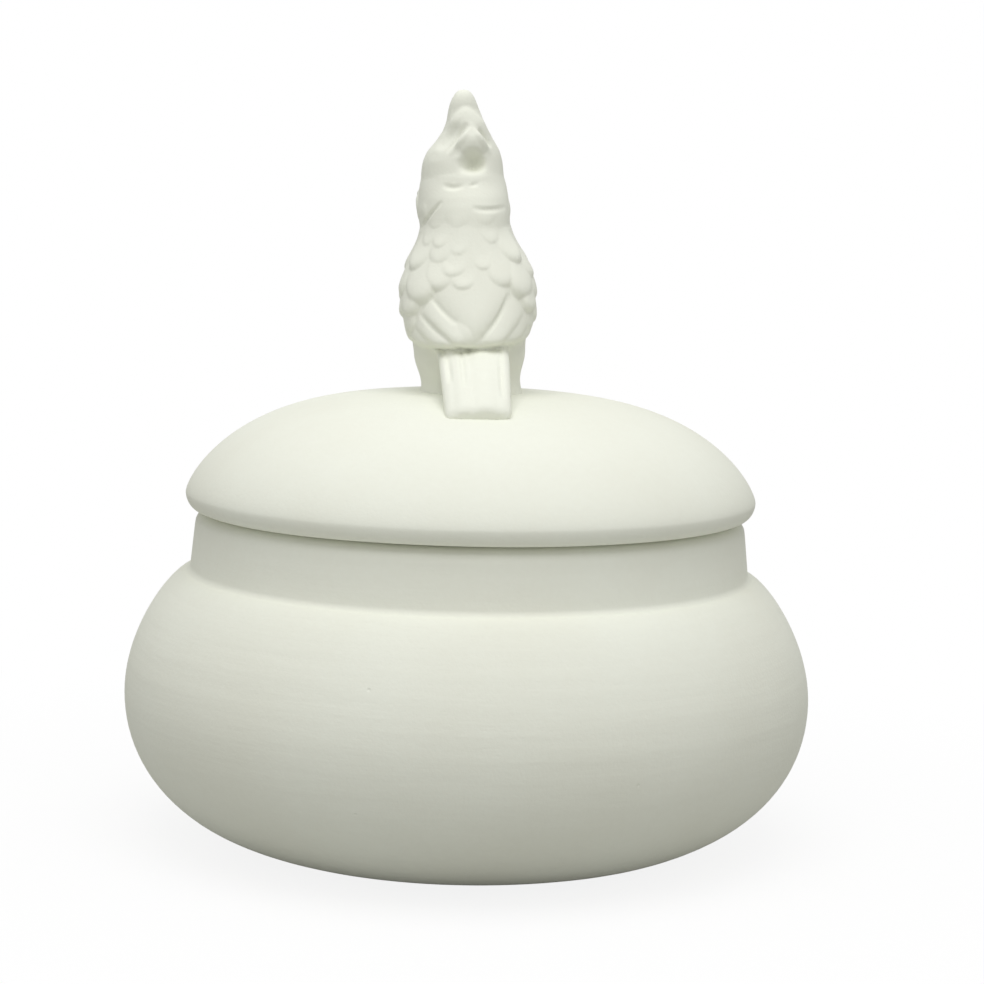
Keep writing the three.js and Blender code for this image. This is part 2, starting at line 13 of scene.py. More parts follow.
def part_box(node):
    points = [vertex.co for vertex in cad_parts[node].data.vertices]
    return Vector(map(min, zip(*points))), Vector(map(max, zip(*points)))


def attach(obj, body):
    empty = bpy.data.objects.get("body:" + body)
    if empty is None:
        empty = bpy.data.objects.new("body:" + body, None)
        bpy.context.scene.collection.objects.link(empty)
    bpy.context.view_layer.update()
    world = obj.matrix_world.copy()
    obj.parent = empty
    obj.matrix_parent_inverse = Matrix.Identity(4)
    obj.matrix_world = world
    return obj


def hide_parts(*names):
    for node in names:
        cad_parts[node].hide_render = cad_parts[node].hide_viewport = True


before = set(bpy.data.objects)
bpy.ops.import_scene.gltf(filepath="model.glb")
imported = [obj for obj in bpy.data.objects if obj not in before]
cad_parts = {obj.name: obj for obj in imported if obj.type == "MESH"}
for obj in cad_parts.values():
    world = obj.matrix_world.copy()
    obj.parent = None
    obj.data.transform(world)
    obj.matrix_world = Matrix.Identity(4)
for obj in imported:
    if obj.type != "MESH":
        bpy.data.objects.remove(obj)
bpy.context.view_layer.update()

# Bowl
# The bowl is cast from white slip in a plaster mould: a round belly on a low foot ring, a soft shoulder
# and a short, nearly upright neck. Its seams were sponged away before the one firing, and it was never
# glazed.
MM = 0.001
BELLY_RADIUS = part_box("bowl")[1].x
RIM_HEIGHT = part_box("bowl")[1].z
BELLY_HEIGHT = 23.8 * MM
BELLY_FULLNESS = 0.58
FOOT_RADIUS = 27 * MM
FOOT_RING = 5 * MM
FOOT_RECESS = 0.8 * MM
SHOULDER_RADIUS = 45.4 * MM
SHOULDER_HEIGHT = 42.9 * MM
SHOULDER_RISE = 0.52
SHOULDER_RUN = 0.25
CREASE_ROUND = 0.6 * MM
NECK_RADIUS = 44 * MM
NECK_ROUND = 0.8 * MM
RIM_ROUND = 2.6 * MM
BOWL_WALL = 4 * MM
TURN_FACETS = 180
CURVE_POINTS = 30
CORNER_POINTS = 6
ROUND_PULL = 0.55
WELD = 0.001 * MM
HAND_SPONGING = 0.1 * MM
SPONGED_PATCH = 22 * MM
FOOT_FADE = 4 * MM
BISQUE_WHITE = "#F0F2E6"
BISQUE_CREAM = "#ECEDE0"
BISQUE_IOR = 1.5
BISQUE_GLOSS = 0.25
BISQUE_ROUGHNESS = {"To Min": 0.8, "To Max": 0.95}
CLOUD_SIZE = 26 * MM
SPECK_SIZE = 1.1 * MM
SPECK_SHARE = 0.3
# Clouds and specks together turn from white to cream over this range.
MOTTLE = {"From Min": 0.45, "From Max": 0.9}
SCRAPE_LENGTH = 30 * MM
SCRAPE_GAP = 2.5 * MM
BOWL_SCRAPING = 0.1 * MM
# Real grain of 0.1 mm is too fine to show, so it is drawn larger.
GRAIN_SIZE = 0.5 * MM
GRAIN_DEPTH = 0.03 * MM
# Each pinhole is its place on the wall and its radius, and its depth is this share of the radius.
PINHOLE_DEPTH = 0.25
PINHOLES = [
    (Vector((-13.9, -51.1, 33.5)) * MM, 0.4 * MM),
    (Vector((24.9, -48.6, 19.9)) * MM, 0.35 * MM),
    (Vector((-15.5, -51.1, 15.4)) * MM, 0.3 * MM),
]


def bend(start, pull_start, pull_end, end, points):
    """Points of (radius, height) along one soft curve of a turned profile."""
    knots = [Vector((radius, 0, height)) for radius, height in (start, pull_start, pull_end, end)]
    return interpolate_bezier(*knots, points)


def corner(start, tip, end):
    """A rounded corner of a profile, as points from start to end round its tip."""
    first = [a + (b - a) * ROUND_PULL for a, b in zip(start, tip)]
    last = [a + (b - a) * ROUND_PULL for a, b in zip(end, tip)]
    return bend(start, first, last, end, CORNER_POINTS)


def inset(outline, wall):
    """A profile moved in by the wall's thickness, square to itself."""
    moved = []
    for place, point in enumerate(outline):
        before = outline[max(place - 1, 0)]
        after = outline[min(place + 1, len(outline) - 1)]
        along = (after - before).normalized()
        moved.append(point + Vector((-along.z, 0, along.x)) * wall)
    return moved


def turned(profile):
    """A profile spun round the Z axis into a closed body."""
    bm = bmesh.new()
    verts = [bm.verts.new(point) for point in profile]
    edges = [bm.edges.new(pair) for pair in zip(verts, verts[1:])]
    bmesh.ops.spin(
        bm,
        geom=verts + edges,
        axis=(0, 0, 1),
        cent=(0, 0, 0),
        angle=2 * math.pi,
        steps=TURN_FACETS,
        use_merge=True,
    )
    bmesh.ops.remove_doubles(bm, verts=bm.verts, dist=WELD)
    bmesh.ops.recalc_face_normals(bm, faces=bm.faces)
    return bm


def sponge(bm, amount, patch):
    """The slight unevenness that a sponge and a scraper leave on a cast wall. The foot stays flat."""
    bm.normal_update()
    for vert in bm.verts:
        share = min(vert.co.z / FOOT_FADE, 1)
        vert.co += vert.normal * amount * share * noise.noise(vert.co / patch)


def linear(colour):
    """An sRGB hex colour as the linear colour that a shader takes."""
    shares = [int(colour[place:place + 2], 16) / 255 for place in (1, 3, 5)]
    return [s / 12.92 if s <= 0.04045 else ((s + 0.055) / 1.055) ** 2.4 for s in shares] + [1]


def add(tree, kind, values=(), links=(), **settings):
    """Adds a node with its settings, the values of its sockets and the links into them."""
    node = tree.nodes.new(kind)
    for name, value in settings.items():
        setattr(node, name, value)
    for socket, value in dict(values).items():
        node.inputs[socket].default_value = value
    for socket, source in dict(links).items():
        tree.links.new(source, node.inputs[socket])
    return node


def pattern(tree, at, size, detail):
    """Noise with features of the given size."""
    values = {"Scale": 1 / size, "Detail": detail}
    return add(tree, "ShaderNodeTexNoise", values, {"Vector": at}).outputs["Fac"]


def ranged(tree, value, ends, **settings):
    """A value carried from one range over to another. Ends that aren't given are 0 and 1."""
    return add(tree, "ShaderNodeMapRange", ends, {"Value": value}, **settings).outputs["Result"]


def blended(tree, share, first, second):
    """A colour between two. The node has several sockets of each name, so its colours go by number."""
    colours = {6: linear(first), 7: linear(second)}
    return add(tree, "ShaderNodeMix", colours, {"Factor": share}, data_type="RGBA").outputs[2]


def bumped(tree, depth, **links):
    """The shading normal over bumps of the given depth."""
    return add(tree, "ShaderNodeBump", {"Strength": 1, "Distance": depth}, links).outputs["Normal"]


def bisque(name, scraping, pinholes=()):
    """Bisque: white earthenware fired once and left bare. It is quite matt and faintly greenish white,
    clouded where the sponge left more or less fine clay, with a grain like fine paper, marks of the
    scraper as deep as given, and a few pinholes."""
    finish = bpy.data.materials.new(name)
    finish.use_nodes = True
    tree = finish.node_tree
    shader = tree.nodes["Principled BSDF"]
    shader.inputs["IOR"].default_value = BISQUE_IOR
    shader.inputs["Specular IOR Level"].default_value = BISQUE_GLOSS
    place = add(tree, "ShaderNodeTexCoord").outputs["Object"]
    stretch = {"Scale": (1, 1, SCRAPE_LENGTH / SCRAPE_GAP)}
    round_wall = add(tree, "ShaderNodeMapping", stretch, {"Vector": place}).outputs["Vector"]
    clouds = pattern(tree, place, CLOUD_SIZE, detail=3)
    specks = pattern(tree, place, SPECK_SIZE, detail=2)
    scrapes = pattern(tree, round_wall, SCRAPE_LENGTH, detail=4)
    grain = pattern(tree, place, GRAIN_SIZE, detail=3)

    mottle = add(
        tree,
        "ShaderNodeMath",
        {1: SPECK_SHARE},
        {0: specks, 2: clouds},
        operation="MULTIPLY_ADD",
    ).outputs["Value"]
    colour = blended(tree, ranged(tree, mottle, MOTTLE), BISQUE_WHITE, BISQUE_CREAM)
    tree.links.new(colour, shader.inputs["Base Color"])
    rough = ranged(tree, clouds, BISQUE_ROUGHNESS)
    tree.links.new(rough, shader.inputs["Roughness"])

    normal = bumped(tree, scraping, Height=scrapes)
    normal = bumped(tree, GRAIN_DEPTH, Height=grain, Normal=normal)
    for hole, radius in pinholes:
        away = add(tree, "ShaderNodeVectorMath", {1: hole}, {0: place}, operation="DISTANCE")
        distance = away.outputs["Value"]
        pit = ranged(tree, distance, {"From Max": radius}, interpolation_type="SMOOTHSTEP")
        normal = bumped(tree, radius * PINHOLE_DEPTH, Height=pit, Normal=normal)
    tree.links.new(normal, shader.inputs["Normal"])
    return finish


def cast(bm, name, finish):
    """The shaped mesh as a piece with its finish, shaded smooth."""
    mesh = bpy.data.meshes.new(name)
    bm.to_mesh(mesh)
    bm.free()
    mesh.shade_smooth()
    mesh.materials.append(finish)
    piece = bpy.data.objects.new(name, mesh)
    bpy.context.scene.collection.objects.link(piece)
    return piece


crease_top = ((SHOULDER_RADIUS + NECK_RADIUS) / 2, SHOULDER_HEIGHT + 2 * CREASE_ROUND)
crease_foot = (SHOULDER_RADIUS, SHOULDER_HEIGHT + CREASE_ROUND / 2)
belly_side = (BELLY_RADIUS, BELLY_HEIGHT)
outside = bend(
    (FOOT_RADIUS, 0),
    (FOOT_RADIUS + BELLY_FULLNESS * (BELLY_RADIUS - FOOT_RADIUS), 0),
    (BELLY_RADIUS, BELLY_HEIGHT * (1 - BELLY_FULLNESS)),
    belly_side,
    CURVE_POINTS,
)
outside += bend(
    belly_side,
    (BELLY_RADIUS, BELLY_HEIGHT + SHOULDER_RISE * (SHOULDER_HEIGHT - BELLY_HEIGHT)),
    (SHOULDER_RADIUS + SHOULDER_RUN * (BELLY_RADIUS - SHOULDER_RADIUS), SHOULDER_HEIGHT),
    crease_foot,
    CURVE_POINTS,
)[1:]
outside += corner(crease_foot, (crease_top[0], SHOULDER_HEIGHT + CREASE_ROUND), crease_top)[1:]
neck_top = (NECK_RADIUS, RIM_HEIGHT - RIM_ROUND)
outside += bend(crease_top, crease_top, neck_top, neck_top, CORNER_POINTS)[1:]
inside = inset(outside, BOWL_WALL)
neck_bore = NECK_RADIUS - BOWL_WALL
ring_inside = FOOT_RADIUS - FOOT_RING
ring_slope = (ring_inside - FOOT_RECESS / 2, FOOT_RECESS / 2)
profile = [Vector((0, 0, FOOT_RECESS)), Vector((ring_inside / 2, 0, FOOT_RECESS))]
profile += corner(
    (ring_inside - 2 * FOOT_RECESS, FOOT_RECESS),
    (ring_inside - FOOT_RECESS, FOOT_RECESS),
    ring_slope,
)
profile += corner(ring_slope, (ring_inside, 0), (ring_inside + FOOT_RECESS, 0))[1:]
profile += outside
profile += corner(neck_top, (NECK_RADIUS, RIM_HEIGHT), (NECK_RADIUS - RIM_ROUND, RIM_HEIGHT))[1:]
profile += corner(
    (neck_bore + NECK_ROUND, RIM_HEIGHT),
    (neck_bore, RIM_HEIGHT),
    (neck_bore, RIM_HEIGHT - NECK_ROUND),
)
profile += inside[-2::-1]
profile.append(Vector((0, 0, inside[0].z)))
bowl_mesh = turned(profile)
sponge(bowl_mesh, HAND_SPONGING, SPONGED_PATCH)
bowl = cast(bowl_mesh, "bowl_cast", bisque("bisque_bowl", BOWL_SCRAPING, PINHOLES))
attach(bowl, "bowl")
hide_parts("bowl")

# Lid
# The lid is a second casting of the same clay: a full dome whose edge rolls under to a flat seat. A ring
# below the seat drops inside the bowl's neck with a little play and keeps the lid from sliding off.
LID_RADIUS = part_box("lid")[1].x
DOME_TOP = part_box("lid")[1].z
FLANGE_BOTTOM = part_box("lid")[0].z
SEAT_GAP = 0.3 * MM
SEAT_HEIGHT = RIM_HEIGHT + SEAT_GAP
LID_EDGE = 2.4 * MM
LID_EDGE_ROUND = 1.6 * MM
LID_EDGE_POINTS = 12
DOME_FLATNESS = 3.3
DOME_SLOPE = 0.72
DOME_STEPS = 48
HOLLOW_STEPS = 30
LID_WALL = 4 * MM
LID_SCRAPING = 0.02 * MM
FLANGE_PLAY = 1 * MM
FLANGE_RADIUS = neck_bore - FLANGE_PLAY
FLANGE_WALL = 3.5 * MM
FLANGE_ROUND = 0.9 * MM
edge_height = SEAT_HEIGHT + LID_EDGE
dome_rise = DOME_TOP - edge_height


def dome(radius, rise, height, steps):
    """Points of a dome of the lid's shape, from its edge to its top."""
    points = []
    for step in range(steps + 1):
        share = math.cos(math.pi / 2 * step / steps)
        full = max(1 - share ** DOME_FLATNESS, 0) ** DOME_SLOPE
        points.append(Vector((radius * share, 0, height + rise * full)))
    points[-1].x = 0
    return points


flange_bore = FLANGE_RADIUS - FLANGE_WALL
profile = dome(flange_bore, dome_rise - LID_WALL, edge_height, HOLLOW_STEPS)[::-1]
profile += corner(
    (flange_bore, FLANGE_BOTTOM + FLANGE_ROUND),
    (flange_bore, FLANGE_BOTTOM),
    (flange_bore + FLANGE_ROUND, FLANGE_BOTTOM),
)
profile += corner(
    (FLANGE_RADIUS - FLANGE_ROUND, FLANGE_BOTTOM),
    (FLANGE_RADIUS, FLANGE_BOTTOM),
    (FLANGE_RADIUS, FLANGE_BOTTOM + FLANGE_ROUND),
)
profile += corner(
    (FLANGE_RADIUS, SEAT_HEIGHT - FLANGE_ROUND),
    (FLANGE_RADIUS, SEAT_HEIGHT),
    (FLANGE_RADIUS + FLANGE_ROUND, SEAT_HEIGHT),
)
profile += bend(
    (LID_RADIUS - LID_EDGE_ROUND, SEAT_HEIGHT),
    (LID_RADIUS - LID_EDGE_ROUND / 2, SEAT_HEIGHT),
    (LID_RADIUS, SEAT_HEIGHT + LID_EDGE / 2),
    (LID_RADIUS, edge_height),
    LID_EDGE_POINTS,
)
profile += dome(LID_RADIUS, dome_rise, edge_height, DOME_STEPS)[1:]
lid_mesh = turned(profile)
sponge(lid_mesh, HAND_SPONGING / 2, SPONGED_PATCH)
lid = cast(lid_mesh, "lid_cast", bisque("bisque_lid", LID_SCRAPING))
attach(lid, "lid")
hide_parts("lid")

# Bird's body
# The knob is a perched cockatoo, cast in a few small moulds and luted together with slip: first the
# upright torso, with a full breast and thighs that spread a little where they meet the dome. All of the
# bird's sizes are in millimetres, from the top of the dome, until it is placed.
# Rings of the torso: height, half width across the bird, half depth along it.
TORSO = [(1.6, 7.9, 8.4), (6.2, 8.9, 9.4), (13.6, 9.8, 10.8), (25.8, 7.4, 7.9)]
TORSO_STEPS = 28
BODY_FACETS = 64
PERCH_FLARE = 0.8
PERCH_ROOT = 5
BODY_FORWARD = 0.6
THIGH_SIZE = (4.2, 4.6, 5.4)
THIGH_PLACE = (3.9, 4.6, 3.6)
LUMP_DETAIL = 4
# The bird's left and right.
HANDS = (-1, 1)
bird = bmesh.new()


def ease(value, low, high):
    """A share from 0 to 1 that starts and ends softly."""
    share = min(max((value - low) / (high - low), 0), 1)
    return share * share * (3 - 2 * share)


def torso_size(height):
    """Half width and half depth of the torso at a height."""
    perch = TORSO[0]
    if height < perch[0]:
        grow = PERCH_FLARE * ease(perch[0] - height, 0, PERCH_ROOT)
        return perch[1] + grow, perch[2] + grow
    low, high = next(pair for pair in zip(TORSO, TORSO[1:]) if height <= pair[1][0])
    share = ease(height, low[0], high[0])
    return [a + (b - a) * share for a, b in zip(low[1:], high[1:])]


def skin(frames, facets):
    """A closed skin: a round ring is carried to each frame in turn and extruded on to the next."""
    disc = bmesh.ops.create_circle(bird, cap_ends=True, segments=facets, radius=1, matrix=frames[0])
    edges = list({edge for vert in disc["verts"] for edge in vert.link_edges})
    for before, after in zip(frames, frames[1:]):
        grown = bmesh.ops.extrude_edge_only(bird, edges=edges)["geom"]
        ring = [part for part in grown if isinstance(part, bmesh.types.BMVert)]
        edges = [part for part in grown if isinstance(part, bmesh.types.BMEdge)]
        bmesh.ops.transform(bird, matrix=after @ before.inverted(), verts=ring)
    bmesh.ops.contextual_create(bird, geom=edges)


def level(height, wide, deep, forward, side=0):
    """The frame of a level ring."""
    return Matrix.Translation((side, forward, height)) @ Matrix.Diagonal((wide, deep, 1, 1))


def sided(hand, place):
    """A place on the bird's right, or the same place on its left."""
    return Vector((hand * place[0], place[1], place[2]))


def lump(size, centre, turn=0):
    """An egg-shaped lump of clay with the given half sizes, turned about its upright axis."""
    turned_place = Matrix.Translation(centre) @ Matrix.Rotation(turn, 4, "Z")
    egg = turned_place @ Matrix.Diagonal((*size, 1))
    bmesh.ops.create_icosphere(bird, subdivisions=LUMP_DETAIL, radius=1, matrix=egg)


def heights(low, high, steps):
    """Evenly spaced heights from low to high."""
    return [low + (high - low) * step / steps for step in range(steps + 1)]


torso_heights = heights(TORSO[0][0] - PERCH_ROOT, TORSO[-1][0], TORSO_STEPS)
skin([level(z, *torso_size(z), BODY_FORWARD) for z in torso_heights], BODY_FACETS)
for hand in HANDS:
    lump(THIGH_SIZE, sided(hand, THIGH_PLACE))

# Wings
# Two folded wings are sprigged on: they cover the back and the flanks, thin out into the shoulders, and
# end in a rounded edge above the tail. Their feathers are raised once the bird is whole.
WING_WIDE = 10.6
WING_WIDEST = (14.6, 16.5)
WING_FALL = 12
NECK_WIDE = 7
NECK_TOP = 28
BACK_DEEP = (14.3, 6.3)
BACK_SLOPE = (2, 36)
WING_BOTTOM = 7.6
WING_EDGE = 1.5
WING_FRONT = 9
WING_STEPS = 48
WING_FACETS = 72


def mantle_size(height, off=0):
    """Half width and half depth of the back and folded wings at a height, this far off them."""
    low = max(WING_WIDEST[0] - height, 0) / WING_FALL
    drawn_in = (WING_WIDE - NECK_WIDE) * ease(height, WING_WIDEST[1], NECK_TOP)
    wide = WING_WIDE * math.sqrt(1 - low * low) - drawn_in
    deep = BACK_DEEP[0] + (BACK_DEEP[1] - BACK_DEEP[0]) * ease(height, *BACK_SLOPE)
    half = (WING_FRONT - BODY_FORWARD + deep + off) / 2
    return wide + off, half


def mantle_ring(height):
    """A level ring round the wings and the back. It ends in the breast and rounds in at the bottom."""
    low = max(1 - (height - WING_BOTTOM) / WING_EDGE, 0)
    wide, half = mantle_size(height, -WING_EDGE * (1 - math.sqrt(1 - low * low)))
    return level(height, wide, half, WING_FRONT - half)


skin([mantle_ring(z) for z in heights(WING_BOTTOM, NECK_TOP, WING_STEPS)], WING_FACETS)

# Tail
# The tail is a slab of a few long feathers, pressed in a mould of its own, that leaves the rump under the
# wing tips and slopes down to rest its end on the dome.
TAIL_SIDE = 0.55
TAIL_THICKNESS = 3
TAIL_TAPER = 0.88
TAIL_REACH = 26.6
TAIL_ROOT = 7
TAIL_ROOT_DEPTH = 6.4
TAIL_SAG = 1.4
TAIL_SAG_PLACE = 0.55
TAIL_BEDDING = 1.05
TAIL_END = 1.2
TAIL_CUT = Matrix.Rotation(math.radians(110), 4, "X")
TAIL_POINTS = 60
TAIL_FACETS = 20
# Each tail feather is how far its middle lies to the right of the tail's own, its width, and how far it
# lies below the top.
TAIL_FEATHERS = [(-3.9, 3.8, 0.5), (-2.2, 5, 0.1), (0.9, 6.4, 0), (3.3, 4.4, 0.35)]


def dome_drop(reach):
    """How far the dome has fallen from its top at a distance from its middle, in millimetres."""
    share = reach * MM / LID_RADIUS
    return dome_rise / MM * ((1 - share ** DOME_FLATNESS) ** DOME_SLOPE - 1)


def arc(start, pull, end, points):
    """Points along a curve that is pulled towards a place."""
    return interpolate_bezier(start, start.lerp(pull, 2 / 3), end.lerp(pull, 2 / 3), end, points)


def tail_feather(place, width, drop):
    """One long feather of the tail, whose blunt end stands upright on the dome."""
    start = Vector((TAIL_SIDE + place, -TAIL_ROOT_DEPTH, TAIL_ROOT - drop))
    pull = Vector((TAIL_SIDE + place, -TAIL_REACH * TAIL_SAG_PLACE, TAIL_ROOT - TAIL_SAG - drop))
    end_height = dome_drop(TAIL_REACH) + TAIL_THICKNESS / 2 - TAIL_BEDDING
    end = Vector((TAIL_SIDE + place * TAIL_TAPER, -TAIL_REACH + drop, end_height - drop))
    frames = []
    for centre in arc(start, pull, end, TAIL_POINTS):
        taper = 1 + (TAIL_TAPER - 1) * centre.y / end.y
        near = min(max(1 - (centre.y - end.y) / TAIL_END, 0), 1)
        shrink = TAIL_END * (1 - math.sqrt(1 - near * near)) / 2
        size = Matrix.Diagonal((taper * width / 2 - shrink, TAIL_THICKNESS / 2 - shrink, 1, 1))
        frames.append(Matrix.Translation(centre) @ TAIL_CUT @ size)
    skin(frames, TAIL_FACETS)


for place, width, drop in TAIL_FEATHERS:
    tail_feather(place, width, drop)

# Feet
# Each foot is a small pad with two toes forward, rolled by hand and pressed on to the dome.
X_AXIS = Vector((1, 0, 0))
FOOT_SPREAD = 3.9
FOOT_BEDDING = 2
TOE_RADIUS = 1.3
TOE_REACH = 12.4
TOE_SPLAY = 1.7
TOE_GATHER = 0.6
OUTER_TOE_SHORT = 1.2
KNUCKLE_BACK = 2.5
KNUCKLE_HEIGHT = 1.95
CLAW_START = 0.55
CLAW_RADIUS = 0.3
CLAW_SPLAY = 0.4


def swept(start, pull, end, side, size, steps=10, facets=16):
    """A piece along a curve that is pulled towards a place. At each share of the way, size gives its half
    width across to the side and its half thickness."""
    points = arc(start, pull, end, steps + 1)
    frames = []
    for step, centre in enumerate(points):
        along = (points[min(step + 1, steps)] - points[max(step - 1, 0)]).normalized()
        across = (side - along * side.dot(along)).normalized()
        turn = Matrix((across, along.cross(across), along)).transposed().to_4x4()
        wide, thick = size(step / steps)
        frames.append(Matrix.Translation(centre) @ turn @ Matrix.Diagonal((wide, thick, 1, 1)))
    skin(frames, facets)


def toe_size(share):
    """A toe's radius, even to its last joint and then drawn out to a claw."""
    radius = TOE_RADIUS + (CLAW_RADIUS - TOE_RADIUS) * ease(share, CLAW_START, 1)
    return radius, radius


for hand in HANDS:
    for toe in HANDS:
        reach = TOE_REACH - (OUTER_TOE_SHORT if toe == hand else 0)
        out = hand * FOOT_SPREAD + toe * TOE_SPLAY
        start = Vector((hand * FOOT_SPREAD + toe * TOE_GATHER, TORSO[0][2] - FOOT_BEDDING, TOE_RADIUS))
        pull = Vector((out, reach - KNUCKLE_BACK, KNUCKLE_HEIGHT))
        end = Vector((out + toe * CLAW_SPLAY, reach, dome_drop(reach) + CLAW_RADIUS))
        swept(start, pull, end, X_AXIS, toe_size)
    pad_place = (FOOT_SPREAD, TORSO[0][2] + BODY_FORWARD + TOE_RADIUS / 2, TOE_RADIUS / 2)
    lump((TOE_SPLAY + TOE_RADIUS / 2, TOE_RADIUS, TOE_RADIUS), sided(hand, pad_place))

# Head
# The head is luted on the neck, turned a little to the bird's left: a round skull with ruffs of feathers
# on the cheeks, a thick nape, ringed eyes, and a short, deep, hooked beak.
HEAD_TURN = 10
NECK_HEIGHT = 26.1
# Skull rings: height above the neck, half width, half depth, and how far forward.
SKULL = [
    (-3, 6.9, 8.2, 0.2),
    (0, 7.1, 8.2, 0.3),
    (1.6, 7.2, 8.15, 0.45),
    (3.2, 7.2, 8, 0.6),
    (4.8, 7.15, 7.6, 0.8),
    (6.4, 6.95, 6.85, 0.9),
    (7.2, 6.8, 6.6, 0.95),
    (8.2, 6.5, 6.5, 1),
    (8.8, 5.8, 5.9, 1),
]
CHEEK_SIZE = (2.3, 4.8, 4.6)
CHEEK_PLACE = (5, 1.6, 3.4)
EYE_RADIUS = 1.2
EYE_RING = (0.8, 2, 1.8)
EYE_PLACE = (5.1, 5, 6)
EYE_TURN = math.radians(36)
# A ruff is one broad feather, on a curve from its root to its end that is pulled towards a place.
RUFF_ROOT = (5.2, 2.6, 7)
RUFF_PULL = (6.8, 0.6, 4)
RUFF_END = (6.2, -2, 0.6)
RUFF_WIDTH = 6
RUFF_THICKNESS = 2
RUFF_ACROSS = Vector((0, 1, 0.4))
RUFF_ROUNDING = (0.2, 0.99)
BEAK_ROOT = Vector((0, 5.5, 6.2))
BEAK_PULL = Vector((0, 14, 8))
BEAK_TIP = Vector((0, 10.2, 0.9))
BEAK_HALF = (2.6, 3.1)
BEAK_TAPER = 1.6
BEAK_BLUNT = 0.5
CHIN_SIZE = (2.6, 2.9, 2.9)
CHIN_PLACE = (0, 8, 2.9)


def ruff_size(share):
    """Half width and half thickness along a ruff, which has a round end."""
    start, end = RUFF_ROUNDING
    full = math.sqrt(math.sin(math.pi * (start + (end - start) * share)))
    return RUFF_WIDTH / 2 * full, RUFF_THICKNESS / 2 * (1 + (full - 1) * share)


def beak_size(share):
    """The beak is deep at its root and draws out to a blunt hook."""
    full = 1 - share ** BEAK_TAPER
    return max(BEAK_HALF[0] * full, BEAK_BLUNT), max(BEAK_HALF[1] * full, BEAK_BLUNT)


head_starts = len(bird.verts)
skin([level(*ring) for ring in SKULL], BODY_FACETS)
for hand in HANDS:
    lump(CHEEK_SIZE, sided(hand, CHEEK_PLACE))
    eye = sided(hand, EYE_PLACE)
    lump((EYE_RADIUS,) * 3, eye)
    lump(EYE_RING, eye, hand * EYE_TURN)
    root, pull, end = [sided(hand, place) for place in (RUFF_ROOT, RUFF_PULL, RUFF_END)]
    swept(root, pull, end, RUFF_ACROSS, ruff_size)
swept(BEAK_ROOT, BEAK_PULL, BEAK_TIP, X_AXIS, beak_size, steps=14, facets=20)
lump(CHIN_SIZE, CHIN_PLACE)

# Crest
# The crest is raised: plumes in three ranks, taller to the front, that lean back over the crown like a
# hood. The last rank is a thin peaked rim with a hollow under it.
# Rings of each rank: height above the neck, half width, half depth, how far forward, and how far to the
# right, where it isn't in the middle.
FIRST_RANK = [
    (6, 6.6, 6.4, 0.9),
    (9, 6.6, 6.1, 0.9),
    (10.6, 6.4, 5.5, 0.5),
    (12.2, 5.8, 4.9, 0.2, 0.1),
    (13.7, 4.65, 4.2, -0.2, 0.3),
    (15.3, 3.6, 3.4, -0.8, 0.4),
    (16.8, 2.95, 2.6, -1.2, 0.3),
    (18.4, 2.5, 2, -1.5, 0.1),
    (19.5, 2.15, 1.8, -1.8),
    (20.4, 1.75, 1.5, -2),
    (21.1, 1.3, 1.1, -2.1),
    (21.6, 0.7, 0.6, -2.1),
]
SECOND_RANK = [
    (9, 6.2, 5.2, 0.4),
    (12.2, 5.4, 4.4, -0.2, 0.1),
    (14.5, 3.8, 3.15, -1.4, 0.35),
    (15.4, 3.3, 2.65, -1.95, 0.4),
    (16.2, 2.95, 2.25, -2.35, 0.35),
    (16.7, 2.75, 2, -2.5, 0.3),
    (17.3, 2.3, 1.7, -2.65, 0.2),
    (18, 1.7, 1.4, -2.75, 0.1),
    (18.6, 1.1, 1.05, -2.8),
    (19.2, 0.3, 0.6, -2.8),
]
THIRD_RANK = [
    (9, 4.8, 3.8, 0),
    (10, 4.7, 3.9, -0.4),
    (11.5, 3.8, 3.75, -1.2),
    (12.6, 3.4, 3.4, -2),
    (13.6, 2.7, 2.8, -2.8),
    (14.4, 1.9, 2.1, -3.4),
    (15.2, 0.9, 1.3, -3.7),
    (15.8, 0.3, 0.8, -3.8),
]
THIRD_SIDE = 0.5
CREST_FACETS = 48
THIRD_FACETS = 40
for rank in (FIRST_RANK, SECOND_RANK):
    skin([level(*ring) for ring in rank], CREST_FACETS)
skin([level(*ring, THIRD_SIDE) for ring in THIRD_RANK], THIRD_FACETS)
bird.verts.ensure_lookup_table()
head_place = Matrix.Translation((0, BODY_FORWARD, NECK_HEIGHT))
head_place @= Matrix.Rotation(math.radians(HEAD_TURN), 4, "Z")
bmesh.ops.transform(bird, matrix=head_place, verts=bird.verts[head_starts:])

# Bird, luted and sponged
# Slip fills the joins, so the fired bird is one soft skin: the castings are fused and smoothed as a
# sponge does. Then the feathers are raised and lines are drawn in with a modelling tool, and the bird is
# stuck to the dome.
FUSED_GRAIN = 0.224
SPONGE_PRESS = 0.5
SPONGE_STROKES = 3
LAST_STROKES = 1
# The crest grows out of the forehead without an edge, so this band is rubbed more. The beak in front of
# it keeps its shape.
BROW_HEIGHTS = (34.2, 40.5)
BROW_DEPTHS = (-2, 6.6)
BROW_STROKES = 30
BACK_ROUND = 10.5
FEATHERED = (6, 31)
